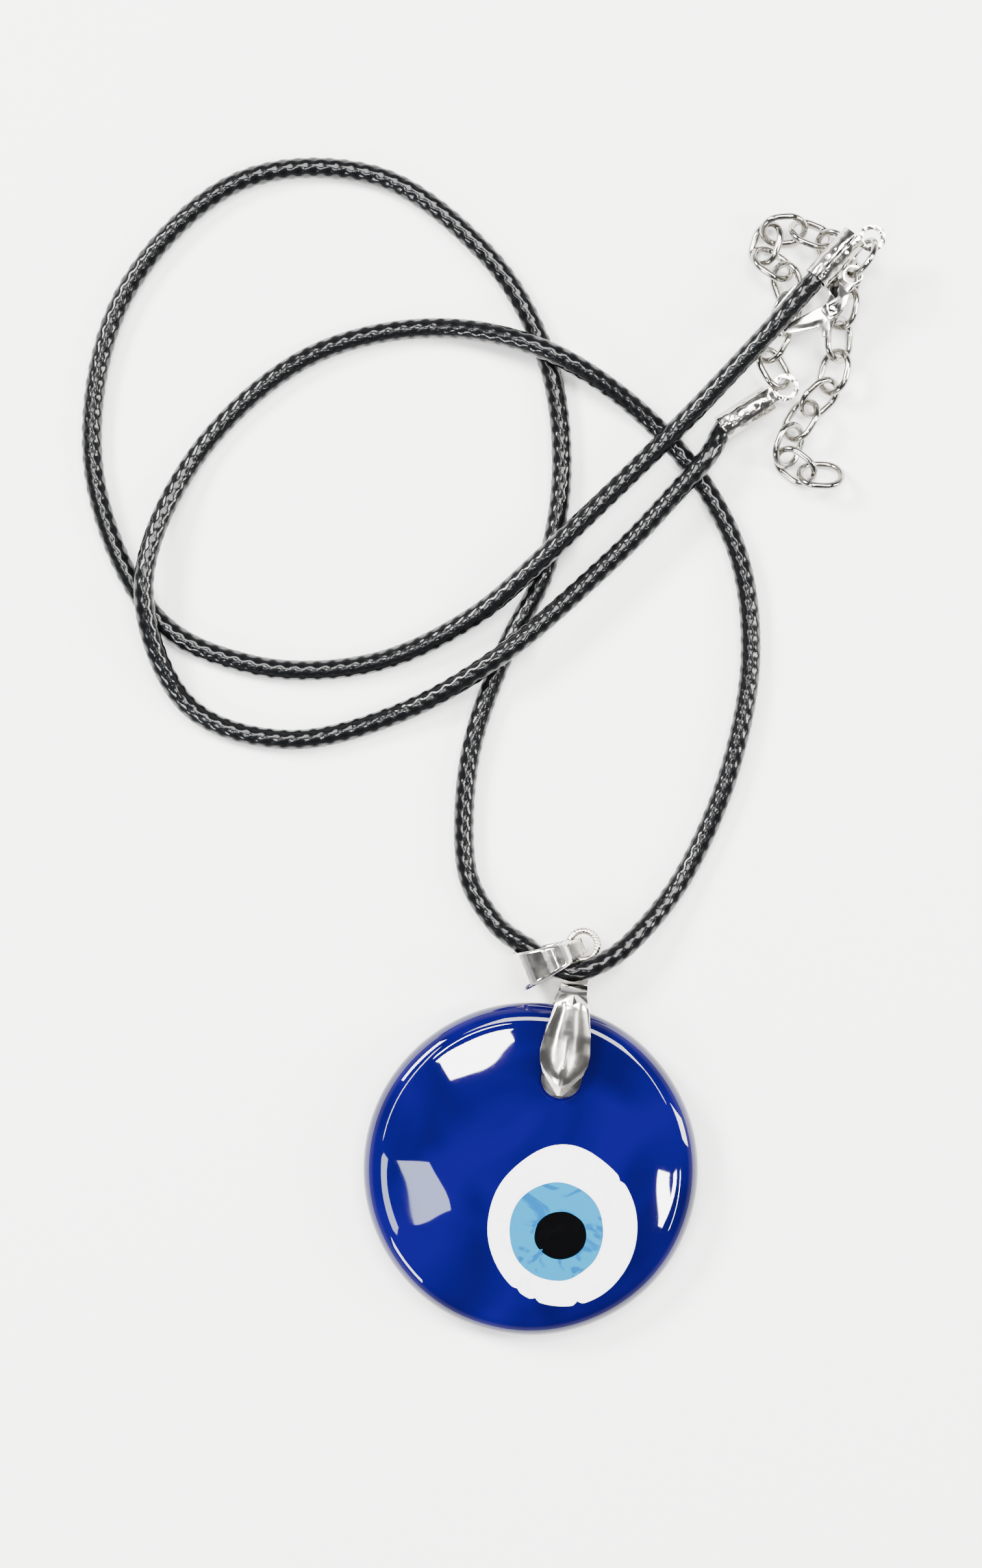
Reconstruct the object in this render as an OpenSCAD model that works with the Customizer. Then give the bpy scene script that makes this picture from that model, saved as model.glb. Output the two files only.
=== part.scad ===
// Evil eye pendant: a blue glass disc on a pinch bail and a band bail, strung on a waxed cord
// that closes with a lobster clasp and an extension chain. It lies on a table, face up.
// Millimetres. The table is z = 0 and the origin is on it, straight below the disc's middle.
// +Y runs from the disc towards the cord, +Z is up, out of the disc's face.

/* [Glass disc] */
// Diameter of the disc
disc_d = 33; // [30:0.5:38]
// Thickness at the disc's middle
disc_t = 5; // [4.6:0.1:6]
// How far the domed face falls from its middle to where the rim starts to round
dome_drop = 0.8; // [0.4:0.1:1]
// Diameter of the flat spot in the middle of the back
back_flat_d = 15; // [12:0.5:15.5]
// Rise of the back from the flat spot to where the rim starts to round
back_rise = 0.3; // [0.25:0.05:0.5]
// Diameter of the stringing hole
hole_d = 4; // [3:0.1:4.6]
// Distance from the disc's middle to the hole
hole_offset = 9.7; // [9:0.1:11]
// Direction of the hole from the disc's middle, clockwise from +Y
hole_dir = 18; // [0:1:30]

/* [Eye] */
// Width of the white layer
white_w = 14.8; // [12:0.1:16]
// Height of the white layer, without its point
white_h = 15.4; // [12:0.1:16]
// Width of the light blue iris
iris_w = 9.2; // [7:0.1:10]
// Height of the light blue iris
iris_h = 9.8; // [7:0.1:10.5]
// Width of the black pupil
pupil_w = 5.1; // [3:0.1:6]
// Height of the black pupil
pupil_h = 4.7; // [3:0.1:6]
// Depth of the white layer below the middle of the face
white_deep = 1.8; // [1.6:0.1:2.2]
// Depth of the iris below the middle of the face
iris_deep = 1.3; // [1.1:0.1:1.5]
// Depth of the pupil below the middle of the face
pupil_deep = 0.9; // [0.6:0.1:1]

/* [Pinch bail] */
// Clockwise turn of the pinch bail from +Y
bail_turn = 8; // [0:1:15]
// Width of each leaf
leaf_w = 4.8; // [3.6:0.1:6]
// Thickness of a leaf at its edge
leaf_t = 0.4; // [0.3:0.05:0.5]
// Extra thickness along a leaf's middle ridge
ridge_h = 0.5; // [0.2:0.05:0.8]
// Length of a leaf beyond the hole, towards the eye
leaf_tip = 1.6; // [1:0.1:2.4]
// Gap between the disc's rim and the inside of the strap that joins the leaves
strap_gap = 1.8; // [1.4:0.1:2.6]
// Width of the strap and neck
strap_w = 2.6; // [2:0.1:3]
// Thickness of the strap and neck
strap_t = 0.6; // [0.5:0.05:0.8]
// Diameter of the pegs that reach into the hole
peg_d = 1.2; // [0.8:0.1:1.6]
// Length of each peg
peg_len = 1.6; // [1:0.1:2]
// Inner diameter of the eyelet at the top of the neck
eyelet_id = 2.2; // [2:0.1:2.6]
// Wire diameter of the eyelet
eyelet_wire = 0.65; // [0.5:0.05:0.8]

/* [Band bail] */
// Outer height of the band at its wide end
band_h = 6.2; // [5.8:0.1:6.6]
// Outer height of the band at its narrow end
band_tip_h = 2.2; // [1.8:0.1:2.6]
// Overall length of the band
band_len = 7.3; // [7.1:0.1:7.8]
// Width of the band at its wide end
band_w = 3.9; // [3:0.1:4.4]
// Width of the band at its narrow end
band_tip_w = 1.5; // [1.2:0.1:1.6]
// Sheet thickness of the band
band_t = 0.4; // [0.3:0.05:0.5]

/* [Cord] */
// Diameter of the waxed cord
cord_d = 2; // [1.6:0.1:2.1]

/* [Cord ends] */
// Length of a fold-over crimp
crimp_len = 5.6; // [5:0.1:6]
// Gap between the cord and the inside of a crimp
crimp_gap = 0.06; // [0.02:0.01:0.1]
// Sheet thickness of a crimp
crimp_t = 0.25; // [0.2:0.05:0.3]
// Inner diameter of a crimp's loop
loop_id = 1.7; // [1.6:0.1:2]
// Wall of a crimp's loop
loop_wall = 0.5; // [0.4:0.05:0.6]

/* [Extension chain] */
// Outer length of a link
link_len = 4.8; // [4.6:0.1:5.2]
// Outer width of a link
link_w = 3.9; // [3.7:0.1:4.2]
// Wire diameter of a link
link_wire = 0.65; // [0.5:0.05:0.7]

/* [Clasp] */
// Outer diameter of the ring between the crimp and the clasp
ring_od = 4.6; // [4.4:0.1:4.8]
// Wire diameter of that ring
ring_wire = 0.65; // [0.5:0.05:0.7]
// Thickness of the clasp's hook
hook_t = 0.9; // [0.6:0.05:1]
// Thickness of the clasp's body around the lever's root
clasp_t = 1.6; // [1.3:0.1:1.7]
// Thickness of the lever
lever_t = 0.7; // [0.5:0.05:0.8]
// Inner diameter of the clasp's eye
clasp_eye_id = 1.5; // [1.4:0.1:1.6]
// Diameter of the lever's rivet
rivet_d = 0.7; // [0.5:0.05:0.9]
// Clearance around the rivet and beside the lever
lever_gap = 0.06; // [0.04:0.01:0.1]

/* [Hidden] */
eps = 0.01;

// Disc: its rim is a full round, and its face is part of a large sphere
rim_r = (disc_t - dome_drop - back_rise) / 2;
flat_r = disc_d / 2 - rim_r;
dome_r = (flat_r * flat_r + dome_drop * dome_drop) / (2 * dome_drop);
hole_x = hole_offset * sin(hole_dir);
hole_y = hole_offset * cos(hole_dir);
eye_pos = [3.1, -disc_d / 6];
iris_pos = eye_pos + [-0.6, -0.3];
pupil_pos = eye_pos + [-0.2, -0.7];

// What lies past the disc's rim is placed for a 33 mm disc and a 2 mm cord. It moves out with
// the rim, and the cord lies higher as it gets thicker
past = disc_d / 2 - 16.5;
thicker = cord_d / 2;

// The disc rests on the flat spot's edge and on the tip of the back leaf, tipped by a degree or so
tip_at = hole_y - leaf_tip;
face_gap = 0.05;
tilt = atan((leaf_t + face_gap) / (tip_at + back_flat_d / 2));
lift = back_flat_d / 2 * sin(tilt);

// Pinch bail, in the disc's tilted frame
strap_reach = disc_d / 2 - hole_offset + strap_gap;
eyelet_at = [5.2, 22 + past];
eyelet_r = (eyelet_id + eyelet_wire) / 2;
neck_z = 2.3;

// Band bail: a thicker cord lies higher, so its band is taller
band_turn = 22;
band_mid = [1.5, 20.5 + past];
band_high = band_h + 2.5 * (cord_d - 2);
band_r = band_high / 2;
band_tip_r = band_tip_h / 2;
band_run = band_len - band_h / 2 - band_tip_r;

// Cord: its route, from the crimp beside the clasp to the crimp at the chain
route = [
  [31.5, 91.3, 5.6], [28.3, 87.75, 5.6], [26.5, 85.75, 5.6], [23.6, 82.5, 5.4],
  [18.8, 77.4, 4.2], [13.8, 72.3, 3.2],
  [2.2, 61.1, 3.2], [-6, 54.2, 1.7], [-16, 49.8, 1], [-27.5, 49.7, 1],
  [-37.6, 55, 1], [-43.3, 69.5, 1], [-40.6, 85.6, 1], [-29.6, 97.2, 1],
  [-15.6, 98.2, 1], [-4.6, 90.6, 1], [1.4, 80.6, 1], [3.1, 70, 1],
  [1.6, 59.6, 1], [-2.7, 50.6, 1], [-6, 40.6, 1], [-6.4, 30, 1],
  [-3.7, 24.4, 1.4], [-0.2, 21.7, 2.6], [2.5, 19.9, 3.5], [5.5, 19.7, 3.75],
  [10, 22.4, 2.6], [15.4, 29.2, 1], [19.8, 39.5, 1], [21.8, 51, 1],
  [20, 62.2, 1], [13, 72.7, 1], [2, 80.4, 3.1], [-10.1, 83, 1.3],
  [-22.7, 79.8, 1], [-33.2, 70.2, 1], [-38.1, 57.6, 3.1], [-34.2, 46, 1.2],
  [-24.3, 42.3, 1], [-13, 44.9, 1.2], [-2.5, 50.9, 3.1], [8.1, 60.1, 3],
  [14.6, 66.9, 3.1], [17.6, 70.4, 3], [19.1, 73.1, 2.2], [21, 74.4, 2.2], [22.9, 75.6, 2.2]
];
route_steps = 2;
cord_sides = 8;

// Crimps: where each mouth is, and which way it points
crimp_a_at = [27.9, 87.3 + past, 5.6 * thicker];
crimp_a_dir = 48;
crimp_b_at = [18.85, 72.95 + past, 2.2 * thicker];
crimp_b_dir = 33.3;
crimp_in = cord_d + 2 * crimp_gap;
crimp_r = crimp_in / 2 + crimp_t;
loop_r = loop_id / 2 + loop_wall;
loop_a = [1.4, crimp_len + 1, 0];
loop_b = [0, crimp_len + 2, 1.47 - crimp_b_at.z];

// Longer crimps push the ring, the clasp and the chain along, placed for crimps 5.6 mm long,
// and the clasp hangs lower under a fatter crimp
longer = crimp_len - 5.6;
drop_a = crimp_r - 1.31;
push_a = [longer * cos(crimp_a_dir), longer * sin(crimp_a_dir) + past, crimp_a_at.z - 5.6 - drop_a];
push_b = [longer * cos(crimp_b_dir), longer * sin(crimp_b_dir) + past, 0];

// Chain: the points where one link hangs in the next, from the crimp to the free end
joints = [
  [24.75, 77.75], [23.3, 80.3], [24.7, 82.9], [25.9, 85.9], [25, 88.6], [22.9, 90],
  [23.7, 92.6], [26.4, 92.8], [29.2, 91.7], [31.3, 89.7], [31.2, 86.6], [30.6, 83.5],
  [30.4, 80.2], [29.7, 77.1], [27.5, 75.1], [26, 72.6], [25.1, 70.2], [27.3, 68.5],
  [30.1, 68.4]
];
link_roll = 45;
link_r = (link_w - link_wire) / 2;
link_straight = link_len - link_w;
link_z = link_r * sin(link_roll) + link_wire / 2;

// Clasp and its ring
ring_at = [32.4, 89.4, 5.25] + push_a;
ring_dir = 239.3;
ring_lean = 68;
ring_r = (ring_od - ring_wire) / 2;
clasp_at = [31.6, 87.58, 4.06] + push_a;
clasp_dir = 216;
clasp_dip = 2.9;
clasp_roll = 5.7;
eye_r = clasp_eye_id / 2 + 0.3;
eye_z = 1.1;
rivet_at = [-1.4, 3.5];
slot_t = lever_t + 2 * lever_gap;

function unit(v) = v / norm(v);

// A point on a smooth curve through a, b, c, d, at t between b and c
function smooth(a, b, c, d, t) =
  (2 * b + (c - a) * t + (2 * a - 5 * b + 4 * c - d) * t * t
    + (3 * b - a - 3 * c + d) * t * t * t) / 2;

// The route with extra points between its own, on the smooth curve
function curve(p, steps) = [
  for (i = [0 : len(p) - 2], k = [0 : steps - 1])
    smooth(p[max(i - 1, 0)], p[i], p[i + 1], p[min(i + 2, len(p) - 1)], k / steps),
  p[len(p) - 1]
];

// An ellipse with a blunt point at its top and a slightly flattened left side
function egg(w, h, point) = [
  for (a = [0 : 5 : 355])
    let (up = max(0, cos(a - 90)), k = 1 + point * pow(up, 24))
      [w / 2 * k * cos(a), h / 2 * k * sin(a)]
];

// Half the leaf's outline, from its tip to its shoulder: [distance out, distance along]
function leaf_side(w) = [
  [0.25, -leaf_tip], [w * 0.42, 0.6], [w * 0.49, 1.6], [w * 0.5, 2.6],
  [w * 0.46, 4.4], [w * 0.36, 7], [strap_w / 2, strap_reach - 0.2]
];

function leaf_outline() =
  let (side = leaf_side(leaf_w), n = len(side))
    concat(side, [for (i = [n - 1 : -1 : 0]) [-side[i].x, side[i].y]]);

module tube(points, r, sides) {
  n = len(points);
  rings = [
    for (i = [0 : n - 1])
      let (
        t = unit(points[min(i + 1, n - 1)] - points[max(i - 1, 0)]),
        s = unit(cross(t, [0, 0, 1])),
        u = cross(s, t)
      )
        for (k = [0 : sides - 1])
          points[i] + r * (cos(360 * (k + 0.5) / sides) * s + sin(360 * (k + 0.5) / sides) * u)
  ];
  walls = [
    for (i = [0 : n - 2], k = [0 : sides - 1])
      let (a = i * sides + k, b = i * sides + (k + 1) % sides)
        for (f = [[a, b, b + sides], [a, b + sides, a + sides]]) f
  ];
  ends = [
    [for (k = [sides - 1 : -1 : 0]) k],
    [for (k = [0 : sides - 1]) (n - 1) * sides + k]
  ];
  polyhedron(rings, concat(walls, ends));
}

module in_pendant() {
  translate([0, 0, lift]) rotate([tilt, 0, 0]) children();
}

module glass_blank() {
  top = disc_t - dome_drop;
  rotate_extrude($fn = 180) {
    polygon([[0, 0], [back_flat_d / 2, 0], [flat_r, back_rise], [flat_r, top], [0, top]]);
    translate([flat_r, back_rise + rim_r]) intersection() {
      circle(rim_r, $fn = 72);
      translate([0, -rim_r]) square(2 * rim_r);
    }
    intersection() {
      translate([0, disc_t - dome_r]) circle(dome_r, $fn = 720);
      translate([0, top - eps]) square([flat_r, 2 * dome_drop]);
    }
  }
}

module white_prism() {
  translate([eye_pos.x, eye_pos.y, disc_t - white_deep])
    linear_extrude(disc_t) polygon(egg(white_w, white_h, 0.08));
}

module iris_prism() {
  translate([iris_pos.x, iris_pos.y, disc_t - iris_deep])
    linear_extrude(disc_t) polygon(egg(iris_w, iris_h, 0));
}

module pupil_prism() {
  translate([pupil_pos.x, pupil_pos.y, disc_t - pupil_deep])
    linear_extrude(disc_t) polygon(egg(pupil_w, pupil_h, 0));
}

module glass_disc() {
  color("midnightblue") in_pendant() difference() {
    glass_blank();
    white_prism();
    translate([hole_x, hole_y, -1]) cylinder(h = disc_t + 2, d = hole_d, $fn = 64);
    translate([hole_x, hole_y, disc_t - 0.9]) cylinder(h = 0.9, d1 = hole_d, d2 = hole_d + 1.6, $fn = 64);
    translate([hole_x, hole_y, 0]) cylinder(h = 0.4, d1 = hole_d + 0.8, d2 = hole_d, $fn = 64);
  }
}

module eye_white() {
  color("white") in_pendant() difference() {
    intersection() {
      glass_blank();
      white_prism();
    }
    iris_prism();
  }
}

module eye_iris() {
  color("deepskyblue") in_pendant() difference() {
    intersection() {
      glass_blank();
      iris_prism();
    }
    pupil_prism();
  }
}

module eye_pupil() {
  color("black") in_pendant() intersection() {
    glass_blank();
    pupil_prism();
  }
}

// One leaf, its flat side on z = 0, with a ridge along its middle
module leaf() {
  roof = [
    [-leaf_w, 0], [leaf_w, 0], [leaf_w / 2, leaf_t], [0, leaf_t + ridge_h], [-leaf_w / 2, leaf_t]
  ];
  intersection() {
    linear_extrude(leaf_t + ridge_h) polygon(leaf_outline());
    translate([0, strap_reach + 1, 0]) rotate([90, 0, 0])
      linear_extrude(strap_reach + leaf_tip + 2) polygon(roof);
  }
}

module peg() {
  cylinder(h = peg_len, d = peg_d, $fn = 32);
}

// The bent strap behind the disc's rim, from the front leaf down to the back one
module strap() {
  top = disc_t + face_gap;
  base = -face_gap;
  outer = strap_reach + strap_t;
  translate([-strap_w / 2, 0, 0]) rotate([90, 0, 90]) linear_extrude(strap_w) polygon([
    [strap_reach - 0.5, base - leaf_t], [outer - 0.3, base - leaf_t], [outer, 0],
    [outer, top - 0.5], [outer - 0.4, top + 0.2], [strap_reach - 0.5, top + leaf_t + 0.15],
    [strap_reach - 0.5, top], [strap_reach, top - 0.4], [strap_reach, 0.2],
    [strap_reach - 0.5, base]
  ]);
}

module pinch_bail() {
  neck_from = [hole_x + (strap_reach + strap_t / 2) * sin(bail_turn),
    hole_y + (strap_reach + strap_t / 2) * cos(bail_turn)];
  neck_vec = eyelet_at - neck_from;
  neck_len = norm(neck_vec) - eyelet_r;
  color("silver") {
    in_pendant() translate([hole_x, hole_y, 0]) rotate([0, 0, -bail_turn]) {
      translate([0, 0, disc_t + face_gap]) leaf();
      translate([0, 0, -leaf_t - face_gap]) linear_extrude(leaf_t) polygon(leaf_outline());
      translate([0, 0, disc_t + face_gap + 0.1]) mirror([0, 0, 1]) peg();
      translate([0, 0, -0.1]) peg();
      strap();
    }
    translate([neck_from.x, neck_from.y, neck_z - strap_t / 2])
      rotate([0, 0, atan2(neck_vec.y, neck_vec.x) - 90]) linear_extrude(strap_t) polygon([
        [-strap_w / 2, 0], [strap_w / 2, 0], [strap_w / 2, neck_len * 0.5],
        [0.5, neck_len + 0.1], [-0.5, neck_len + 0.1], [-strap_w / 2, neck_len * 0.5]
      ]);
    translate([eyelet_at.x, eyelet_at.y, neck_z]) rotate_extrude($fn = 64)
      translate([eyelet_r, 0]) circle(d = eyelet_wire, $fn = 24);
  }
}

// The outline of a drop: a large circle and a small one joined by their tangents
function drop(r1, r2, run, dz) =
  let (
    lean = atan2(dz, run),
    span = norm([run, dz]),
    a = acos((r1 - r2) / span)
  ) concat(
    [for (k = [0 : 28]) let (t = lean + a + k * (360 - 2 * a) / 28) [r1 * cos(t), r1 * sin(t)]],
    [for (k = [0 : 12]) let (t = lean - a + k * 2 * a / 12) [run + r2 * cos(t), dz + r2 * sin(t)]]
  );

module band_bail() {
  dz = neck_z - band_r;
  color("silver") translate([band_mid.x, band_mid.y, 0]) rotate([0, 0, band_turn]) intersection() {
    translate([0, band_w, band_r]) rotate([90, 0, 0]) linear_extrude(2 * band_w) difference() {
      polygon(drop(band_r, band_tip_r, band_run, dz));
      polygon(drop(band_r - band_t, band_tip_r - band_t, band_run, dz));
    }
    linear_extrude(2 * band_h) polygon([
      [-band_r - 1, -band_w / 2], [-band_r, -band_w / 2], [band_run + band_tip_r, -band_tip_w / 2],
      [band_run + band_tip_r, band_tip_w / 2], [-band_r, band_w / 2], [-band_r - 1, band_w / 2]
    ]);
  }
}

module waxed_cord() {
  lying = [for (p = curve(route, route_steps)) [p.x, p.y + past, p.z * thicker]];
  color("black") tube(lying, cord_d / 2, cord_sides);
}

// A sheet rolled round the cord along +Y, with its seam on top
module crimp_shell() {
  rotate([-90, 0, 0]) cylinder(h = crimp_len, r = crimp_r, $fn = 64);
}

module crimp_inside() {
  translate([0, -1, 0]) rotate([-90, 0, 0]) cylinder(h = crimp_len + 1.1, d = crimp_in, $fn = 48);
}

module seam() {
  translate([-0.1, -1, 0]) cube([0.2, crimp_len + 1.1, 2 * crimp_r]);
}

module loop_plate(at) {
  translate([at.x, at.y, at.z - crimp_t / 2]) cylinder(h = crimp_t, r = loop_r, $fn = 48);
}

module loop_hole(at) {
  translate([at.x, at.y, -2 * crimp_r]) cylinder(h = 4 * crimp_r, d = loop_id, $fn = 48);
}

module cord_end_a() {
  color("silver") translate(crimp_a_at) rotate([0, 0, crimp_a_dir - 90]) difference() {
    union() {
      crimp_shell();
      loop_plate(loop_a);
    }
    crimp_inside();
    seam();
    loop_hole(loop_a);
  }
}

// This one lies seam down: its end is folded down from the top to carry the loop lower
module cord_end_b() {
  color("silver") translate(crimp_b_at) rotate([0, 0, crimp_b_dir - 90]) difference() {
    union() {
      crimp_shell();
      loop_plate(loop_b);
      translate([-0.8, crimp_len - 0.3, loop_b.z - crimp_t / 2])
        cube([1.6, 0.3 + 0.1 + 2 * crimp_t, crimp_in / 2 - loop_b.z + crimp_t / 2]);
      translate([-0.6, crimp_len, loop_b.z - crimp_t / 2])
        cube([1.2, loop_b.y - crimp_len - loop_id / 2, crimp_t]);
    }
    crimp_inside();
    rotate([0, 180, 0]) seam();
    loop_hole(loop_b);
  }
}

// An oval wire link lying flat, long side along X
module link() {
  for (s = [1, -1]) {
    translate([s * link_straight / 2, 0, 0]) rotate([0, 0, -s * 90]) rotate_extrude(angle = 180, $fn = 48)
      translate([link_r, 0]) circle(d = link_wire, $fn = 20);
    translate([-link_straight / 2, s * link_r, 0]) rotate([0, 90, 0])
      cylinder(h = link_straight, d = link_wire, $fn = 20);
  }
}

// Link number i hangs between joint i and the next, and leans the other way from its neighbours
module chain_link(i) {
  a = joints[i];
  b = joints[i + 1];
  color("silver") translate([(a.x + b.x) / 2, (a.y + b.y) / 2, link_z] + push_b)
    rotate([0, 0, atan2(b.y - a.y, b.x - a.x)])
      rotate([i % 2 == 0 ? link_roll : -link_roll, 0, 0]) link();
}

module clasp_ring() {
  color("silver") translate(ring_at) rotate([0, 0, ring_dir]) rotate([ring_lean, 0, 0])
    rotate_extrude($fn = 64) translate([ring_r, 0]) circle(d = ring_wire, $fn = 24);
}

// The clasp lies in its own plane: eye at the origin, claw along +Y, lever on the -X side
module in_clasp() {
  translate(clasp_at) rotate([0, 0, clasp_dir - 90]) rotate([-clasp_dip, 0, 0])
    rotate([0, clasp_roll, 0]) children();
}

module slab(t) {
  translate([0, 0, -t / 2]) linear_extrude(t) children();
}

module clasp_body() {
  color("silver") in_clasp() difference() {
    union() {
      translate([0, 0, eye_z - 0.3]) cylinder(h = 0.6, r = eye_r, $fn = 48);
      translate([-1.1, 0, 0]) rotate([90, 0, 90]) linear_extrude(1.6) polygon([
        [0.8, 0.6], [1, -hook_t / 2], [2.6, -hook_t / 2], [2.6, hook_t / 2], [1.4, 1.35], [0.6, 1.35]
      ]);
      slab(hook_t) polygon([
        [-1.1, 1.2], [-1.9, 2.2], [-2.15, 3.2], [-2.1, 4.3], [-0.75, 4.3], [-0.6, 3.6],
        [-0.2, 2.9], [0.5, 2.6], [1.2, 2.9], [1.8, 3.8], [2.05, 5.2], [1.9, 6.8],
        [1.45, 7.9], [0.75, 8.55], [-0.45, 8.8], [-0.5, 9.15], [0.1, 9.35], [1.2, 9],
        [2.1, 8], [2.65, 6.6], [2.8, 5], [2.5, 3.4], [1.9, 2.2], [0.9, 1.2]
      ]);
      slab(clasp_t) polygon([
        [-1.3, 1.4], [-1.9, 2.2], [-2.15, 3.2], [-2.1, 4.3], [-0.75, 4.3], [-0.6, 3.6], [-0.8, 2]
      ]);
    }
    translate([-2.6, 2.55, -slot_t / 2]) cube([2.3, 2.2, slot_t]);
    translate([rivet_at.x, rivet_at.y, -clasp_t]) cylinder(h = 2 * clasp_t, d = rivet_d, $fn = 32);
    cylinder(h = 4, d = clasp_eye_id, $fn = 48);
  }
}

module clasp_lever() {
  color("silver") in_clasp() difference() {
    union() {
      slab(lever_t) translate(rivet_at) circle(0.75, $fn = 48);
      slab(lever_t) polygon([
        [-2.12, 3.6], [-2.1, 4.3], [-2.8, 4.7], [-3.2, 5.4], [-3, 5.8], [-2.4, 5.5],
        [-1.95, 5.6], [-1.55, 6.7], [-1, 7.9], [-0.5, 8.5], [-0.1, 8.6], [0.1, 8.2],
        [0, 7], [-0.2, 5.6], [-0.4, 4.4], [-0.68, 3.6]
      ]);
    }
    translate([rivet_at.x, rivet_at.y, -lever_t])
      cylinder(h = 2 * lever_t, d = rivet_d + 2 * lever_gap, $fn = 32);
  }
}

module clasp_rivet() {
  color("gray") in_clasp() translate([rivet_at.x, rivet_at.y, -clasp_t / 2 - 0.05])
    cylinder(h = clasp_t + 0.1, d = rivet_d, $fn = 32);
}

glass_disc();
eye_white();
eye_iris();
eye_pupil();
pinch_bail();
band_bail();
waxed_cord();
cord_end_a();
cord_end_b();
clasp_ring();
clasp_body();
clasp_lever();
clasp_rivet();
chain_link(0);  // link_01
chain_link(1);  // link_02
chain_link(2);  // link_03
chain_link(3);  // link_04
chain_link(4);  // link_05
chain_link(5);  // link_06
chain_link(6);  // link_07
chain_link(7);  // link_08
chain_link(8);  // link_09
chain_link(9);  // link_10
chain_link(10);  // link_11
chain_link(11);  // link_12
chain_link(12);  // link_13
chain_link(13);  // link_14
chain_link(14);  // link_15
chain_link(15);  // link_16
chain_link(16);  // link_17
chain_link(17);  // link_18
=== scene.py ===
import bpy
import bmesh
import math
from mathutils import Matrix, Vector, noise


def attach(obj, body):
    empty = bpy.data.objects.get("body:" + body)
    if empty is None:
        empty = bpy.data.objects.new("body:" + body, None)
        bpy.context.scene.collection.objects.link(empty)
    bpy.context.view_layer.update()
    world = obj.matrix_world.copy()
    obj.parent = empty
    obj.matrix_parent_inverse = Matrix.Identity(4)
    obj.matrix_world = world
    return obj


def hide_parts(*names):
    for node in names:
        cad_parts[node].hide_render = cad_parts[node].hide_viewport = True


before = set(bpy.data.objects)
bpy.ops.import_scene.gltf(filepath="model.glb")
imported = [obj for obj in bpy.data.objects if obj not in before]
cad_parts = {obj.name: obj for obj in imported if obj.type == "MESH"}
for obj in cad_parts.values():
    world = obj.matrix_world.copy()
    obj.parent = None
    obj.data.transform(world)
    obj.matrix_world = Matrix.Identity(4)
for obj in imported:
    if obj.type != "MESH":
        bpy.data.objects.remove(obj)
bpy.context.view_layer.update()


# ---- camera ----
cameraSet = {"lens": 85.0, "height": 0.3676, "overX": -0.0039, "overY": 0.0379}

camData = bpy.data.cameras.new("camera")
camData.lens = cameraSet["lens"]
camData.sensor_width = 36.0
camData.clip_start = 0.01
camera = bpy.data.objects.new("camera", camData)
camera.location = (cameraSet["overX"], cameraSet["overY"], cameraSet["height"])
bpy.context.collection.objects.link(camera)
bpy.context.scene.camera = camera
print("camera set straight over the pendant and its cord")


# ---- small helpers ----
def addObject(name, mesh, material, body):
    piece = bpy.data.objects.new(name, mesh)
    bpy.context.collection.objects.link(piece)
    mesh.materials.clear()
    mesh.materials.append(material)
    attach(piece, body)
    return piece


def meshFrom(bm, name, smoothAngle=40.0):
    mesh = bpy.data.meshes.new(name)
    bm.to_mesh(mesh)
    bm.free()
    for face in mesh.polygons:
        face.use_smooth = True
    mesh.set_sharp_from_angle(angle=math.radians(smoothAngle))
    return mesh


def sockets(group, ins, outs):
    for label, kind, value in ins:
        made = group.interface.new_socket(name=label, in_out="INPUT", socket_type=kind)
        if value is not None:
            made.default_value = value
    for label, kind in outs:
        group.interface.new_socket(name=label, in_out="OUTPUT", socket_type=kind)


# ---- shared shader effects ----
def buildHandlingMarks():
    # fine scuffs on polished plating: a roughness that wanders, and a little height
    group = bpy.data.node_groups.new("handlingMarks", "ShaderNodeTree")
    sockets(group,
            [("Scale", "NodeSocketFloat", 900.0), ("Smooth", "NodeSocketFloat", 0.08),
             ("Scuffed", "NodeSocketFloat", 0.22)],
            [("Roughness", "NodeSocketFloat"), ("Height", "NodeSocketFloat")])
    nodes, links = group.nodes, group.links
    inn, out = nodes.new("NodeGroupInput"), nodes.new("NodeGroupOutput")
    place = nodes.new("ShaderNodeTexCoord")
    cloud = nodes.new("ShaderNodeTexNoise")
    cloud.inputs["Detail"].default_value = 4.0
    spread = nodes.new("ShaderNodeMapRange")
    spread.inputs["From Min"].default_value = 0.35
    spread.inputs["From Max"].default_value = 0.7
    links.new(place.outputs["Object"], cloud.inputs["Vector"])
    links.new(inn.outputs["Scale"], cloud.inputs["Scale"])
    links.new(cloud.outputs["Fac"], spread.inputs["Value"])
    links.new(inn.outputs["Smooth"], spread.inputs["To Min"])
    links.new(inn.outputs["Scuffed"], spread.inputs["To Max"])
    links.new(spread.outputs["Result"], out.inputs["Roughness"])
    links.new(cloud.outputs["Fac"], out.inputs["Height"])
    return group


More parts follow.
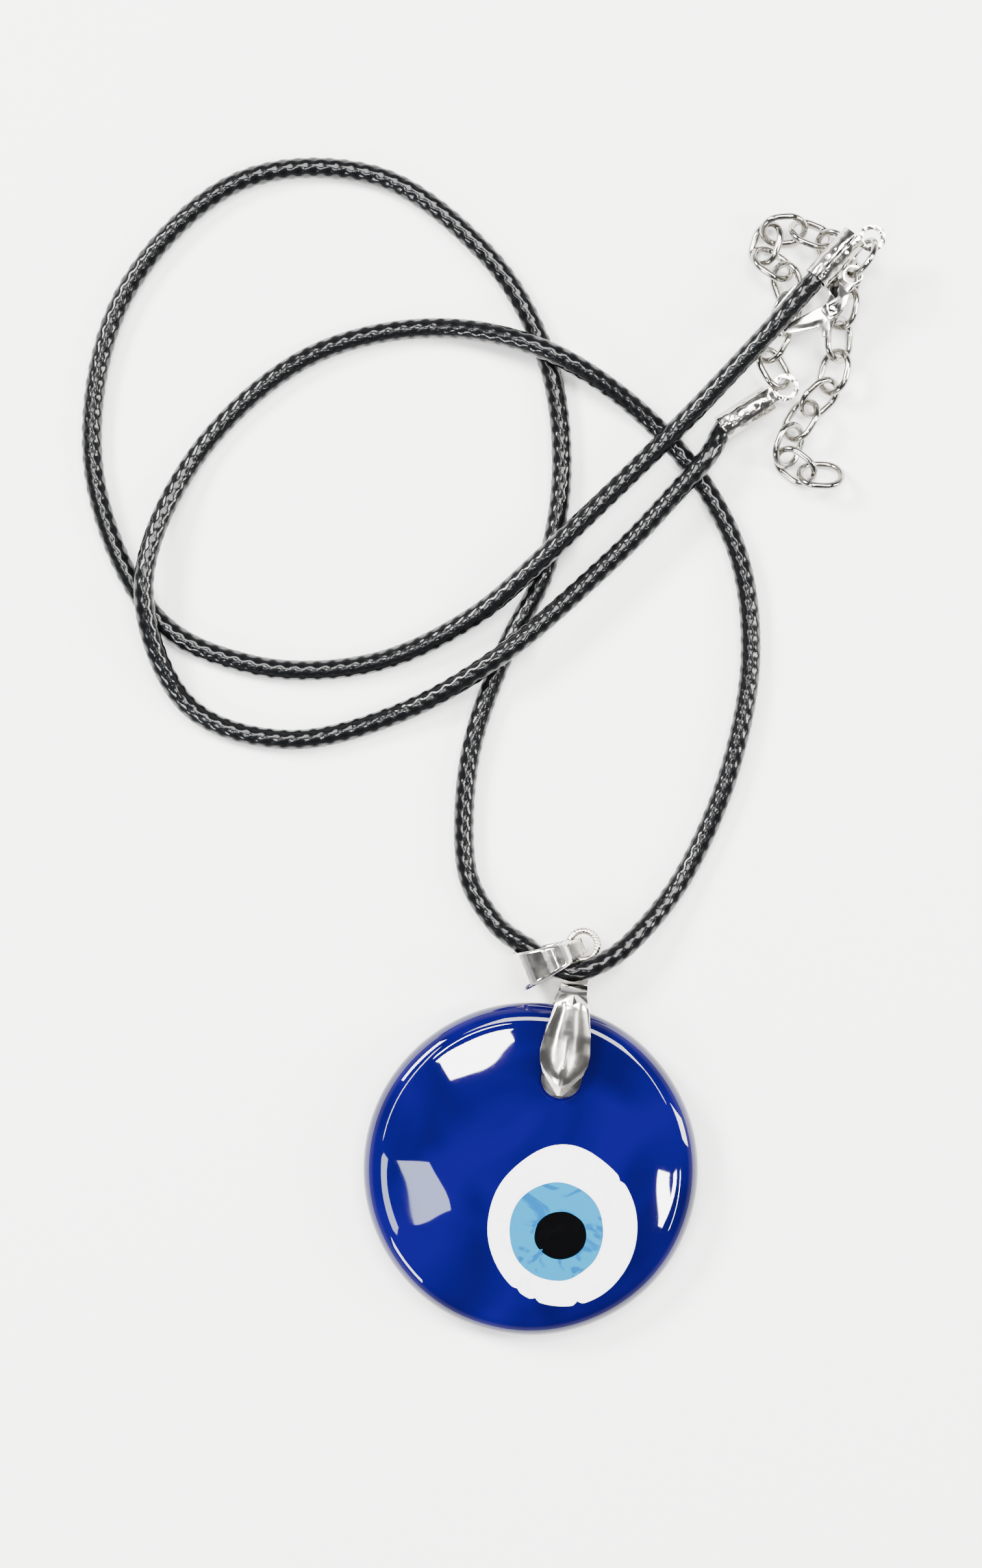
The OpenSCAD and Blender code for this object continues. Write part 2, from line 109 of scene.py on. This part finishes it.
def buildGlassStreaks():
    # stirred glass: long soft streaks that turn round the eye
    group = bpy.data.node_groups.new("glassStreaks", "ShaderNodeTree")
    sockets(group,
            [("Scale", "NodeSocketFloat", 300.0), ("Stir", "NodeSocketFloat", 3.0),
             ("Low", "NodeSocketFloat", 0.4), ("High", "NodeSocketFloat", 0.65)],
            [("Mask", "NodeSocketFloat")])
    nodes, links = group.nodes, group.links
    inn, out = nodes.new("NodeGroupInput"), nodes.new("NodeGroupOutput")
    place = nodes.new("ShaderNodeTexCoord")
    cloud = nodes.new("ShaderNodeTexNoise")
    cloud.inputs["Detail"].default_value = 2.0
    spread = nodes.new("ShaderNodeMapRange")
    spread.interpolation_type = "SMOOTHSTEP"
    links.new(place.outputs["Object"], cloud.inputs["Vector"])
    links.new(inn.outputs["Scale"], cloud.inputs["Scale"])
    links.new(inn.outputs["Stir"], cloud.inputs["Distortion"])
    links.new(cloud.outputs["Fac"], spread.inputs["Value"])
    links.new(inn.outputs["Low"], spread.inputs["From Min"])
    links.new(inn.outputs["High"], spread.inputs["From Max"])
    links.new(spread.outputs["Result"], out.inputs["Mask"])
    return group


handlingMarks = buildHandlingMarks()
glassStreaks = buildGlassStreaks()


def startMaterial(name):
    material = bpy.data.materials.new(name)
    material.use_nodes = True
    return material, material.node_tree.nodes, material.node_tree.links, \
        material.node_tree.nodes["Principled BSDF"]


def platedMetal(name, colour, smooth, scuffed, scale, dents=0.0, dentScale=1500.0):
    material, nodes, links, shader = startMaterial(name)
    shader.inputs["Metallic"].default_value = 1.0
    marks = nodes.new("ShaderNodeGroup")
    marks.node_tree = handlingMarks
    marks.inputs["Scale"].default_value = scale
    marks.inputs["Smooth"].default_value = smooth
    marks.inputs["Scuffed"].default_value = scuffed
    links.new(marks.outputs["Roughness"], shader.inputs["Roughness"])
    tone = nodes.new("ShaderNodeMix")
    tone.data_type = "RGBA"
    tone.inputs["A"].default_value = (*colour, 1.0)
    tone.inputs["B"].default_value = (colour[0] * 0.86, colour[1] * 0.84, colour[2] * 0.78, 1.0)
    links.new(marks.outputs["Height"], tone.inputs["Factor"])
    links.new(tone.outputs["Result"], shader.inputs["Base Color"])
    bump = nodes.new("ShaderNodeBump")
    bump.inputs["Distance"].default_value = 0.00002
    if dents > 0:
        place = nodes.new("ShaderNodeTexCoord")
        pits = nodes.new("ShaderNodeTexVoronoi")
        pits.feature = "SMOOTH_F1"
        pits.inputs["Scale"].default_value = dentScale
        bump.inputs["Strength"].default_value = dents
        bump.inputs["Distance"].default_value = 0.0002
        links.new(place.outputs["Object"], pits.inputs["Vector"])
        links.new(pits.outputs["Distance"], bump.inputs["Height"])
    else:
        bump.inputs["Strength"].default_value = 0.25
        links.new(marks.outputs["Height"], bump.inputs["Height"])
    links.new(bump.outputs["Normal"], shader.inputs["Normal"])
    return material


silverPlate = platedMetal("silverPlate", (0.72, 0.70, 0.66), 0.09, 0.2, 700.0)
chainWire = platedMetal("chainWire", (0.36, 0.35, 0.33), 0.07, 0.18, 1100.0)
crimpPlate = platedMetal("crimpPlate", (0.46, 0.45, 0.43), 0.08, 0.22, 900.0, 0.6, 1500.0)
claspPlate = platedMetal("claspPlate", (0.48, 0.47, 0.45), 0.05, 0.18, 800.0)


def eyeGlass(name, first, second, roughness, scale, stir, low, high, through=0.0, under=0.0):
    material, nodes, links, shader = startMaterial(name)
    streaks = nodes.new("ShaderNodeGroup")
    streaks.node_tree = glassStreaks
    streaks.inputs["Scale"].default_value = scale
    streaks.inputs["Stir"].default_value = stir
    streaks.inputs["Low"].default_value = low
    streaks.inputs["High"].default_value = high
    tone = nodes.new("ShaderNodeMix")
    tone.data_type = "RGBA"
    tone.inputs["A"].default_value = (*first, 1.0)
    tone.inputs["B"].default_value = (*second, 1.0)
    links.new(streaks.outputs["Mask"], tone.inputs["Factor"])
    links.new(tone.outputs["Result"], shader.inputs["Base Color"])
    shader.inputs["Roughness"].default_value = roughness
    shader.inputs["IOR"].default_value = 1.5
    shader.inputs["Transmission Weight"].default_value = through
    if under > 0:
        shader.inputs["Subsurface Weight"].default_value = under
        shader.inputs["Subsurface Radius"].default_value = (0.0008, 0.0009, 0.0012)
        shader.inputs["Subsurface Scale"].default_value = 1.0
    return material


cobaltGlass = eyeGlass("cobaltGlass", (0.0035, 0.0, 0.072), (0.0016, 0.0, 0.036),
                       0.02, 80.0, 0.6, 0.35, 0.7, through=0.2)
whiteGlass = eyeGlass("whiteGlass", (0.90, 0.90, 0.94), (0.74, 0.76, 0.92),
                      0.08, 260.0, 2.0, 0.55, 0.8, under=0.25)
irisGlass = eyeGlass("irisGlass", (0.0, 0.14, 0.28), (0.0, 0.07, 0.20),
                     0.08, 190.0, 3.5, 0.50, 0.62, under=0.05)
pupilGlass = eyeGlass("pupilGlass", (0.0004, 0.0004, 0.0005), (0.001, 0.001, 0.0014),
                      0.06, 400.0, 1.0, 0.5, 0.8)


def waxedThread():
    material, nodes, links, shader = startMaterial("waxedThread")
    # painted shade: the cord's colour is darker down in the grooves between strands and lighter on the strand
    # tops, set by the plait height
    depth = nodes.new("ShaderNodeAttribute")
    depth.attribute_name = "plaitHeight"
    tone = nodes.new("ShaderNodeMix")
    tone.data_type = "RGBA"
    tone.inputs["A"].default_value = (0.0008, 0.0008, 0.001, 1.0)
    tone.inputs["B"].default_value = (0.0035, 0.0037, 0.0042, 1.0)
    links.new(depth.outputs["Fac"], tone.inputs["Factor"])
    links.new(tone.outputs["Result"], shader.inputs["Base Color"])
    place = nodes.new("ShaderNodeTexCoord")
    fibre = nodes.new("ShaderNodeTexNoise")
    fibre.inputs["Scale"].default_value = 4200.0
    fibre.inputs["Detail"].default_value = 3.0
    rough = nodes.new("ShaderNodeMapRange")
    rough.inputs["To Min"].default_value = 0.1
    rough.inputs["To Max"].default_value = 0.22
    bump = nodes.new("ShaderNodeBump")
    bump.inputs["Strength"].default_value = 0.15
    bump.inputs["Distance"].default_value = 0.00003
    links.new(place.outputs["Object"], fibre.inputs["Vector"])
    links.new(fibre.outputs["Fac"], rough.inputs["Value"])
    links.new(rough.outputs["Result"], shader.inputs["Roughness"])
    links.new(fibre.outputs["Fac"], bump.inputs["Height"])
    links.new(bump.outputs["Normal"], shader.inputs["Normal"])
    shader.inputs["Specular IOR Level"].default_value = 0.26
    return material


blackThread = waxedThread()
print("materials made")


# ---- the waxed cord ----
cordSet = {"diameter": 0.002, "step": 0.00022, "sides": 10, "strands": 5,
           "plaitLength": 0.0015, "plaitDepth": 0.00017}
cordRoute = [
    (31.5, 91.3, 5.6), (28.3, 87.75, 5.6), (26.5, 85.75, 5.6), (23.6, 82.5, 5.4),
    (18.8, 77.4, 4.2), (13.8, 72.3, 3.2), (2.2, 61.1, 3.2), (-6, 54.2, 1.7), (-16, 49.8, 1),
    (-27.5, 49.7, 1), (-37.6, 55, 1), (-43.3, 69.5, 1), (-40.6, 85.6, 1), (-29.6, 97.2, 1),
    (-15.6, 98.2, 1), (-4.6, 90.6, 1), (1.4, 80.6, 1), (3.1, 70, 1), (1.6, 59.6, 1),
    (-2.7, 50.6, 1), (-6, 40.6, 1), (-6.4, 30, 1), (-3.7, 24.4, 1.4), (-0.2, 21.7, 2.6),
    (2.5, 19.9, 3.5), (5.5, 19.7, 3.75), (10, 22.4, 2.6), (15.4, 29.2, 1), (19.8, 39.5, 1),
    (21.8, 51, 1), (20, 62.2, 1), (13, 72.7, 1), (2, 80.4, 3.1), (-10.1, 83, 1.3),
    (-22.7, 79.8, 1), (-33.2, 70.2, 1), (-38.1, 57.6, 3.1), (-34.2, 46, 1.2), (-24.3, 42.3, 1),
    (-13, 44.9, 1.2), (-2.5, 50.9, 3.1), (8.1, 60.1, 3), (14.6, 66.9, 3.1), (17.6, 70.4, 3),
    (19.1, 73.1, 2.2), (21, 74.4, 2.2), (22.9, 75.6, 2.2)]


def smoothPoint(a, b, c, d, t):
    return (2 * b + (c - a) * t + (2 * a - 5 * b + 4 * c - d) * t * t
            + (3 * b - a - 3 * c + d) * t * t * t) / 2


def evenLine(route, step):
    knots = [Vector(p) / 1000 for p in route]
    dense = []
    for i in range(len(knots) - 1):
        a, b = knots[max(i - 1, 0)], knots[i]
        c, d = knots[i + 1], knots[min(i + 2, len(knots) - 1)]
        for k in range(60):
            dense.append(smoothPoint(a, b, c, d, k / 60))
    dense.append(knots[-1])
    line, left = [dense[0]], step
    for a, b in zip(dense, dense[1:]):
        span = (b - a).length
        while left <= span:
            line.append(a.lerp(b, left / span))
            left += step
        left -= span
    return line


def tubeAlong(name, line, radius, resolution, closed=False):
    curve = bpy.data.curves.new(name, "CURVE")
    curve.dimensions = "3D"
    spline = curve.splines.new("POLY")
    spline.points.add(len(line) - 1)
    for point, place in zip(spline.points, line):
        point.co = (*place, 1.0)
    spline.use_cyclic_u = closed
    curve.bevel_depth = radius
    curve.bevel_resolution = resolution
    curve.use_fill_caps = not closed
    carrier = bpy.data.objects.new(name, curve)
    mesh = bpy.data.meshes.new_from_object(carrier)
    bpy.data.objects.remove(carrier)
    bpy.data.curves.remove(curve)
    return mesh


def plaitHeight(turn, along):
    # two sets of strands cross as they wind opposite ways; one of them is on top in each cell
    u = cordSet["strands"] * turn + along / cordSet["plaitLength"]
    v = cordSet["strands"] * turn - along / cordSet["plaitLength"]
    over = (math.floor(u) + math.floor(v)) % 2 == 0
    across, onward = (u % 1, v % 1) if over else (v % 1, u % 1)
    return math.sqrt(max(0.0, 1 - (2 * across - 1) ** 2)) * (0.55 + 0.45 * math.sin(math.pi * onward))


cordLine = evenLine(cordRoute, cordSet["step"])
cordMesh = tubeAlong("waxedCord", cordLine, cordSet["diameter"] / 2 - 0.00012, cordSet["sides"])
ringSides = len(cordMesh.vertices) // len(cordLine)
heights = [0.0] * len(cordMesh.vertices)
for i, vert in enumerate(cordMesh.vertices):
    ring = i // ringSides
    if ring >= len(cordLine):
        continue
    h = plaitHeight((i % ringSides) / ringSides, ring * cordSet["step"])
    out = (vert.co - cordLine[ring]).normalized()
    vert.co += out * cordSet["plaitDepth"] * h
    heights[i] = h
# the plait height is also kept on the cord to drive its painted groove shade
layer = cordMesh.attributes.new("plaitHeight", "FLOAT", "POINT")
layer.data.foreach_set("value", heights)
for face in cordMesh.polygons:
    face.use_smooth = len(face.vertices) < 5
waxedCord = addObject("waxedCordPiece", cordMesh, blackThread, "cord")
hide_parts("waxed_cord")


# ---- metal pieces: the frame's shapes with their edges eased ----
def easedCopy(node, name, body, material, ease=0.0, segments=3, angle=35.0, crease=50.0):
    bm = bmesh.new()
    bm.from_mesh(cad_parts[node].data)
    bmesh.ops.remove_doubles(bm, verts=bm.verts, dist=0.000002)
    if ease > 0:
        bmesh.ops.dissolve_limit(bm, angle_limit=math.radians(2), verts=bm.verts, edges=bm.edges)
        edges = [e for e in bm.edges if len(e.link_faces) == 2
                 and e.calc_face_angle(0) > math.radians(angle)]
        bmesh.ops.bevel(bm, geom=edges, offset=ease, offset_type="OFFSET", segments=segments,
                        profile=0.5, affect="EDGES", clamp_overlap=True, material=-1)
    piece = addObject(name, meshFrom(bm, name, crease), material, body)
    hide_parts(node)
    return piece


discSet = {"radius": 0.0165, "thick": 0.005, "drop": 0.0008, "wobble": 0.00010,
           "flatSpot": 0.0075, "rise": 0.0003, "hole": (0.0029975, 0.009225),
           "holeRadius": 0.002, "tilt": 1.704137, "lift": 0.00022304}
bandSet = {"middle": (0.0015, 0.0205), "turn": 22.0, "run": 0.0031, "halfHigh": 0.0026}


def crownedBand():
    # the frame's band with its flat top swelled into one curve
    bm = bmesh.new()
    bm.from_mesh(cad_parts["band_bail"].data)
    bmesh.ops.remove_doubles(bm, verts=bm.verts, dist=0.000002)
    for _ in range(4):
        longEdges = [e for e in bm.edges if e.calc_length() > 0.0006]
        bmesh.ops.subdivide_edges(bm, edges=longEdges, cuts=1)
        bmesh.ops.triangulate(bm, faces=[f for f in bm.faces if len(f.verts) > 3])
    way = Vector((math.cos(math.radians(bandSet["turn"])), math.sin(math.radians(bandSet["turn"]))))
    for v in bm.verts:
        t = (Vector((v.co.x, v.co.y)) - Vector(bandSet["middle"])).dot(way) / bandSet["run"]
        if v.co.z > bandSet["halfHigh"] and -0.2 < t < 1.4:
            v.co.z += metalSet["bandCrown"] * math.sin(math.pi * (t + 0.2) / 1.6)
    piece = addObject("bandBail", meshFrom(bm, "bandBail", 50.0), silverPlate, "band")
    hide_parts("band_bail")
    return piece


metalSet = {"leafCrease": 14.0, "bandCrown": 0.00035, "crimpEase": 0.00005, "claspEase": 0.00014}
pinchBail = easedCopy("pinch_bail", "pinchBail", "bail", silverPlate, crease=metalSet["leafCrease"])
bandBail = crownedBand()
crimpA = easedCopy("cord_end_a", "crimpAtClasp", "cord", crimpPlate, metalSet["crimpEase"])
crimpB = easedCopy("cord_end_b", "crimpAtChain", "cord", crimpPlate, metalSet["crimpEase"])
claspRing = easedCopy("clasp_ring", "claspRing", "ring", chainWire)
claspBody = easedCopy("clasp_body", "claspBody", "clasp", claspPlate, metalSet["claspEase"])
claspLever = easedCopy("clasp_lever", "claspLever", "lever", claspPlate, metalSet["claspEase"])
claspRivet = easedCopy("clasp_rivet", "claspRivet", "clasp", claspPlate, 0.00004)
for i in range(18):
    label = "%02d" % (i + 1)
    easedCopy("link_" + label, "chainLink" + label, "chain_" + label, chainWire)
print("metal pieces made")


# the front leaf's pillowed face, creased along its middle near the tip
leafSet = {"hole": (2.9975, 9.2253), "turn": 8.0, "base": 5.25, "edge": 0.22, "swell": 0.50, "crease": 0.24,
           "outline": [(0.15, -1.62), (1.08, -0.6), (2.0, 0.7), (2.38, 1.6), (2.43, 2.6),
                       (2.24, 4.4), (1.75, 7.0), (1.32, 8.3)]}


def leafWidth(along):
    side = leafSet["outline"]
    for (w0, y0), (w1, y1) in zip(side, side[1:]):
        if along <= y1:
            return w0 + (w1 - w0) * max(0.0, (along - y0) / (y1 - y0))
    return side[-1][0]


def leafFace():
    bm = bmesh.new()
    bmesh.ops.create_grid(bm, x_segments=28, y_segments=56, size=1.0)
    low, high = leafSet["outline"][0][1], leafSet["outline"][-1][1]
    for v in bm.verts:
        across, along = v.co.x, low + (v.co.y + 1) / 2 * (high - low)
        pillow = (1 - abs(across) ** 2.4) * min(1.0, (leafWidth(along) / 1.6) ** 0.7)
        crease = leafSet["crease"] * math.exp(-abs(across) * 6) * max(0.0, 1 - (along - low) / 6)
        shoulder = max(0.0, min(1.0, (high - along) / 1.2)) ** 0.6
        z = leafSet["edge"] + (leafSet["swell"] * pillow + crease) * (0.35 + 0.65 * shoulder)
        v.co = (across * leafWidth(along), along, z)
    grown = bmesh.ops.extrude_edge_only(bm, edges=[e for e in bm.edges if e.is_boundary])
    for v in [g for g in grown["geom"] if isinstance(g, bmesh.types.BMVert)]:
        v.co.z = -0.15
    bmesh.ops.holes_fill(bm, edges=[e for e in bm.edges if e.is_boundary], sides=0)
    bmesh.ops.recalc_face_normals(bm, faces=bm.faces)
    lay = (Matrix.Translation((0, 0, discSet["lift"])) @ Matrix.Rotation(math.radians(discSet["tilt"]), 4, "X")
           @ Matrix.Translation(Vector((*leafSet["hole"], leafSet["base"])) / 1000)
           @ Matrix.Rotation(math.radians(-leafSet["turn"]), 4, "Z") @ Matrix.Scale(0.001, 4))
    bmesh.ops.transform(bm, matrix=lay, verts=bm.verts)
    return addObject("leafFace", meshFrom(bm, "leafFace", 32.0), silverPlate, "bail")


leafFace()
print("leaf made")


# rope wound round the eyelet above the neck
ropeSet = {"middle": (5.2, 22.0, 2.3), "radius": 1.425, "strands": 3, "turns": 9,
           "offset": 0.17, "wire": 0.2}


def ropeStrand(index):
    line = []
    steps = 240
    for k in range(steps):
        a = 2 * math.pi * k / steps
        b = ropeSet["turns"] * a + 2 * math.pi * index / ropeSet["strands"]
        r = ropeSet["radius"] + ropeSet["offset"] * math.cos(b)
        line.append(Vector((ropeSet["middle"][0] + r * math.cos(a),
                            ropeSet["middle"][1] + r * math.sin(a),
                            ropeSet["middle"][2] + ropeSet["offset"] * math.sin(b))) / 1000)
    mesh = tubeAlong("ropeStrand", line, ropeSet["wire"] / 1000, 3, closed=True)
    for face in mesh.polygons:
        face.use_smooth = True
    return mesh


for k in range(ropeSet["strands"]):
    addObject("eyeletRope" + str(k + 1), ropeStrand(k), silverPlate, "bail")
print("rope eyelet made")


# ---- the glass pendant ----
eyeSet = {
    "white": {"middle": (0.0031, -0.0055), "size": (0.0147, 0.0155), "point": 0.065,
              "floor": 0.0032, "wander": 0.010, "turn": 3.0,
              "nicks": [(-78, 0.00035), (-112, 0.00028), (38, 0.00022), (-128, 0.0002)]},
    "iris": {"middle": (0.0025, -0.0058), "size": (0.0092, 0.0098), "point": 0.0,
             "floor": 0.0037, "wander": 0.022, "turn": 7.0, "nicks": []},
    "pupil": {"middle": (0.0029, -0.0062), "size": (0.0051, 0.0047), "point": 0.0,
              "floor": 0.0041, "wander": 0.035, "turn": 12.0,
              "nicks": [(-140, 0.0003)]},
}


def discBlank():
    rise, spot = discSet["rise"], discSet["flatSpot"]
    rim = (discSet["thick"] - discSet["drop"] - rise) / 2
    flat = discSet["radius"] - rim
    dome = (flat * flat + discSet["drop"] ** 2) / (2 * discSet["drop"])
    profile = [(spot * k / 6, 0.0) for k in range(7)]
    profile += [(spot + (flat - spot) * k / 5, rise * k / 5) for k in range(1, 6)]
    profile += [(flat + rim * math.sin(math.radians(a)), rise + rim - rim * math.cos(math.radians(a)))
                for a in range(8, 180, 8)]
    profile += [(flat * k / 24, discSet["thick"] - dome + math.sqrt(dome ** 2 - (flat * k / 24) ** 2))
                for k in range(24, -1, -1)]
    bm = bmesh.new()
    verts = [bm.verts.new((x, 0, z)) for x, z in profile]
    edges = [bm.edges.new(pair) for pair in zip(verts, verts[1:])]
    bmesh.ops.spin(bm, geom=verts + edges, cent=(0, 0, 0), axis=(0, 0, 1), dvec=(0, 0, 0),
                   angle=2 * math.pi, steps=144, use_merge=True)
    bmesh.ops.remove_doubles(bm, verts=bm.verts, dist=0.000001)
    bmesh.ops.recalc_face_normals(bm, faces=bm.faces)
    for v in bm.verts:  # a little uneven, round the rim and over the face
        r = math.hypot(v.co.x, v.co.y)
        if r > 0.0001:
            way = Vector((v.co.x, v.co.y, 0)) / r
            push = noise.noise(way * 1.6 + Vector((3, 1, 0))) * discSet["wobble"] * (r / discSet["radius"]) ** 3
            v.co -= way * (abs(push) + push) * 0.5
        if v.co.z > rise + rim:
            v.co.z += noise.noise(v.co * 170) * discSet["wobble"] * 0.5 * min(1.0, (v.co.z - rise - rim) / rim)
    return bm


def layerPrism(facts):
    bm = bmesh.new()
    made = bmesh.ops.create_circle(bm, cap_ends=True, segments=180, radius=1.0)
    for v in made["verts"]:
        a = math.atan2(v.co.y, v.co.x)
        up = max(0.0, math.sin(a))
        k = 1 + facts["point"] * up ** 9
        k += facts["wander"] * noise.noise(Vector((math.cos(a) * 1.8, math.sin(a) * 1.8, facts["turn"])))
        x, y = facts["size"][0] / 2 * k * math.cos(a), facts["size"][1] / 2 * k * math.sin(a)
        for where, deep in facts["nicks"]:
            off = (math.degrees(a) - where + 180) % 360 - 180
            shrink = 1 - deep / facts["size"][0] * 2 * math.exp(-(off / 2.2) ** 2)
            x, y = x * shrink, y * shrink
        v.co = (facts["middle"][0] + x, facts["middle"][1] + y, facts["floor"])
    grown = bmesh.ops.extrude_face_region(bm, geom=bm.faces[:])
    lifted = [g for g in grown["geom"] if isinstance(g, bmesh.types.BMVert)]
    bmesh.ops.translate(bm, verts=lifted, vec=(0, 0, 0.006))
    bmesh.ops.recalc_face_normals(bm, faces=bm.faces)
    return bm


def asTemp(bm, name):
    mesh = bpy.data.meshes.new(name)
    bm.to_mesh(mesh)
    bm.free()
    temp = bpy.data.objects.new(name, mesh)
    bpy.context.collection.objects.link(temp)
    return temp


def carved(name, base, steps):
    work = bpy.data.objects.new(name, base.data.copy())
    bpy.context.collection.objects.link(work)
    for kind, tool in steps:
        cut = work.modifiers.new(kind, "BOOLEAN")
        cut.operation = kind
        cut.object = tool
        cut.solver = "EXACT"
    ready = work.evaluated_get(bpy.context.evaluated_depsgraph_get())
    bm = bmesh.new()
    bm.from_mesh(ready.to_mesh())
    ready.to_mesh_clear()
    bpy.data.objects.remove(work)
    return bm


def pendantPiece(name, bm, material, node, ease=0.0):
    if ease > 0:
        edges = [e for e in bm.edges if len(e.link_faces) == 2
                 and e.calc_face_angle(0) > math.radians(55)]
        bmesh.ops.bevel(bm, geom=edges, offset=ease, offset_type="OFFSET", segments=3,
                        profile=0.5, affect="EDGES", clamp_overlap=True, material=-1)
    lay = Matrix.Translation((0, 0, discSet["lift"])) @ Matrix.Rotation(
        math.radians(discSet["tilt"]), 4, "X")
    bmesh.ops.transform(bm, matrix=lay, verts=bm.verts)
    piece = addObject(name, meshFrom(bm, name, 32.0), material, "disc")
    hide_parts(node)
    return piece


def roundCutter(low, high, middle, depth):
    bm = bmesh.new()
    bmesh.ops.create_cone(bm, cap_ends=True, segments=64, radius1=low, radius2=high, depth=depth)
    bmesh.ops.translate(bm, verts=bm.verts, vec=(*discSet["hole"], middle))
    return bm


blank = asTemp(discBlank(), "blank")
whiteTool = asTemp(layerPrism(eyeSet["white"]), "whiteTool")
irisTool = asTemp(layerPrism(eyeSet["iris"]), "irisTool")
pupilTool = asTemp(layerPrism(eyeSet["pupil"]), "pupilTool")
holeTool = asTemp(roundCutter(discSet["holeRadius"], discSet["holeRadius"], 0.0025, 0.02), "holeTool")
flareTool = asTemp(roundCutter(discSet["holeRadius"] * 0.9, discSet["holeRadius"] * 2.2, 0.0054, 0.002),
                   "flareTool")
glassDisc = pendantPiece("glassDisc", carved("disc", blank, [("DIFFERENCE", holeTool), ("DIFFERENCE", flareTool),
                                                    ("DIFFERENCE", whiteTool)]),
                         cobaltGlass, "glass_disc")
eyeWhite = pendantPiece("eyeWhite", carved("white", blank, [("INTERSECT", whiteTool), ("DIFFERENCE", irisTool)]),
                        whiteGlass, "eye_white")
eyeIris = pendantPiece("eyeIris", carved("iris", blank, [("INTERSECT", irisTool), ("DIFFERENCE", pupilTool)]),
                       irisGlass, "eye_iris")
eyePupil = pendantPiece("eyePupil", carved("pupil", blank, [("INTERSECT", pupilTool)]),
                        pupilGlass, "eye_pupil")
for temp in (blank, whiteTool, irisTool, pupilTool, holeTool, flareTool):
    bpy.data.objects.remove(temp)
print("glass pendant made")


# ---- floor and light ----
floorSet = {"size": 4.0, "colour": (0.93, 0.925, 0.91)}
bm = bmesh.new()
bmesh.ops.create_grid(bm, x_segments=1, y_segments=1, size=floorSet["size"] / 2)
floorMesh = bpy.data.meshes.new("floor")
bm.to_mesh(floorMesh)
bm.free()
floor = bpy.data.objects.new("floor", floorMesh)
bpy.context.collection.objects.link(floor)
paper, nodes, links, shader = startMaterial("paper")
shader.inputs["Base Color"].default_value = (*floorSet["colour"], 1.0)
shader.inputs["Roughness"].default_value = 0.85
floorMesh.materials.append(paper)

lightSet = [
    ("windowLeft", (-0.42, 0.34, 0.42), (0.22, 0.16), 0, 13.0, (1.0, 0.99, 0.97)),
    ("windowRight", (0.46, 0.05, 0.30), (0.10, 0.26), 0, 5.0, (1.0, 0.98, 0.95)),
    ("windowBelow", (-0.30, -0.30, 0.36), (0.12, 0.12), 0, 2.6, (0.95, 0.98, 1.0)),
    ("overhead", (0.10, 0.36, 0.80), (0.55, 0.30), 0, 17.0, (1.0, 1.0, 0.98)),
    ("stripLeft", (-0.24, 0.10, 0.62), (0.035, 0.30), 12, 1.6, (1.0, 0.99, 0.96)),
    ("stripRight", (0.27, 0.14, 0.62), (0.030, 0.26), -8, 1.3, (1.0, 0.98, 0.95)),
    ("paneUpper", (-0.067, 0.040, 0.60), (0.082, 0.035), 28, 1.5, (1.0, 1.0, 1.0)),
    ("paneRight", (0.161, -0.136, 0.60), (0.021, 0.067), -14, 0.75, (1.0, 1.0, 1.0)),
    ("paneLower", (-0.123, -0.121, 0.60), (0.041, 0.057), 10, 0.16, (0.75, 0.85, 1.0)),
]
for name, place, size, turn, power, colour in lightSet:
    lamp = bpy.data.lights.new(name, "AREA")
    lamp.shape = "RECTANGLE"
    lamp.size, lamp.size_y = size
    lamp.energy = power
    lamp.color = colour
    holder = bpy.data.objects.new(name, lamp)
    holder.location = place
    aim = Vector((0.0, 0.03, 0.0)) - Vector(place)
    holder.rotation_mode = "QUATERNION"
    holder.rotation_quaternion = aim.to_track_quat("-Z", "Y")
    if turn:  # panes over the piece face straight down and turn about the upright
        holder.rotation_mode = "XYZ"
        holder.rotation_euler = (0, 0, math.radians(turn))
    bpy.context.collection.objects.link(holder)

# the room is pale near the horizon and dark overhead
roomSet = {"pale": 1.3, "dark": 0.14, "fromHeight": 0.12, "toHeight": 0.6}
world = bpy.data.worlds.new("studio")
bpy.context.scene.world = world
world.use_nodes = True
nodes, links = world.node_tree.nodes, world.node_tree.links
sky = nodes["Background"]
sky.inputs["Color"].default_value = (0.93, 0.95, 1.0, 1.0)
way = nodes.new("ShaderNodeTexCoord")
parts = nodes.new("ShaderNodeSeparateXYZ")
fade = nodes.new("ShaderNodeMapRange")
fade.interpolation_type = "SMOOTHSTEP"
fade.inputs["From Min"].default_value = roomSet["fromHeight"]
fade.inputs["From Max"].default_value = roomSet["toHeight"]
fade.inputs["To Min"].default_value = roomSet["pale"]
fade.inputs["To Max"].default_value = roomSet["dark"]
links.new(way.outputs["Generated"], parts.inputs["Vector"])
links.new(parts.outputs["Z"], fade.inputs["Value"])
links.new(fade.outputs["Result"], sky.inputs["Strength"])
print("floor and lights set")
